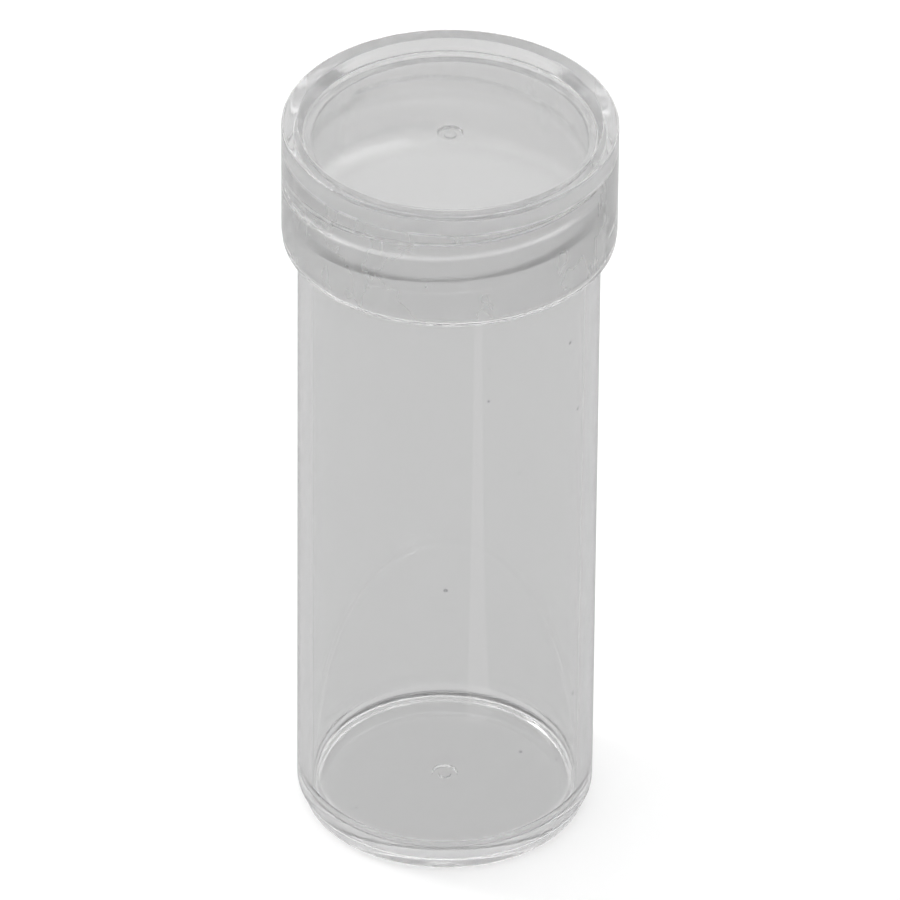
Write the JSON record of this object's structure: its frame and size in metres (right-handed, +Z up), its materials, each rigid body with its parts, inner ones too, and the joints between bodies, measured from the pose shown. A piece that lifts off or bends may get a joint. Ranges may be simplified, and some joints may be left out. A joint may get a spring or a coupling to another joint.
{
  "type": "coin tube",
  "caption": "Round clear plastic tube for a stack of coins, with a screw cap whose recessed top takes the foot of another tube.",
  "frame": {"origin": "centre of the underside of the foot, on the surface that the tube stands on", "axes": "+Z up along the tube's axis, from the foot to the cap's rim; -Y towards the camera of the picture, +X to its right"},
  "size_m": [0.031, 0.031, 0.0758],
  "materials": {
    "tube_plastic": "clear, polished",
    "cap_plastic": "clear, slightly milky, polished"
  },
  "bodies": {
    "tube": {"tube": "tube_plastic"},
    "cap_carrier": {"cap_gate": "cap_plastic"},
    "cap": {"cap": "cap_plastic"}
  },
  "joints": [
    {"name": "cap_lift", "type": "slide", "parent": "tube", "child": "cap_carrier", "axis": [0, 0, 1], "range_m": [0, 0.0112]},
    {"name": "cap_turn", "type": "hinge", "parent": "cap_carrier", "child": "cap", "pos_m": [0, 0, 0.0744], "axis": [0, 0, 1], "range_deg": [0, 720]}
  ],
  "couplings": [
    {"joint": "cap_lift", "follows": "cap_turn", "m_per_rad": 0.00089126}
  ]
}
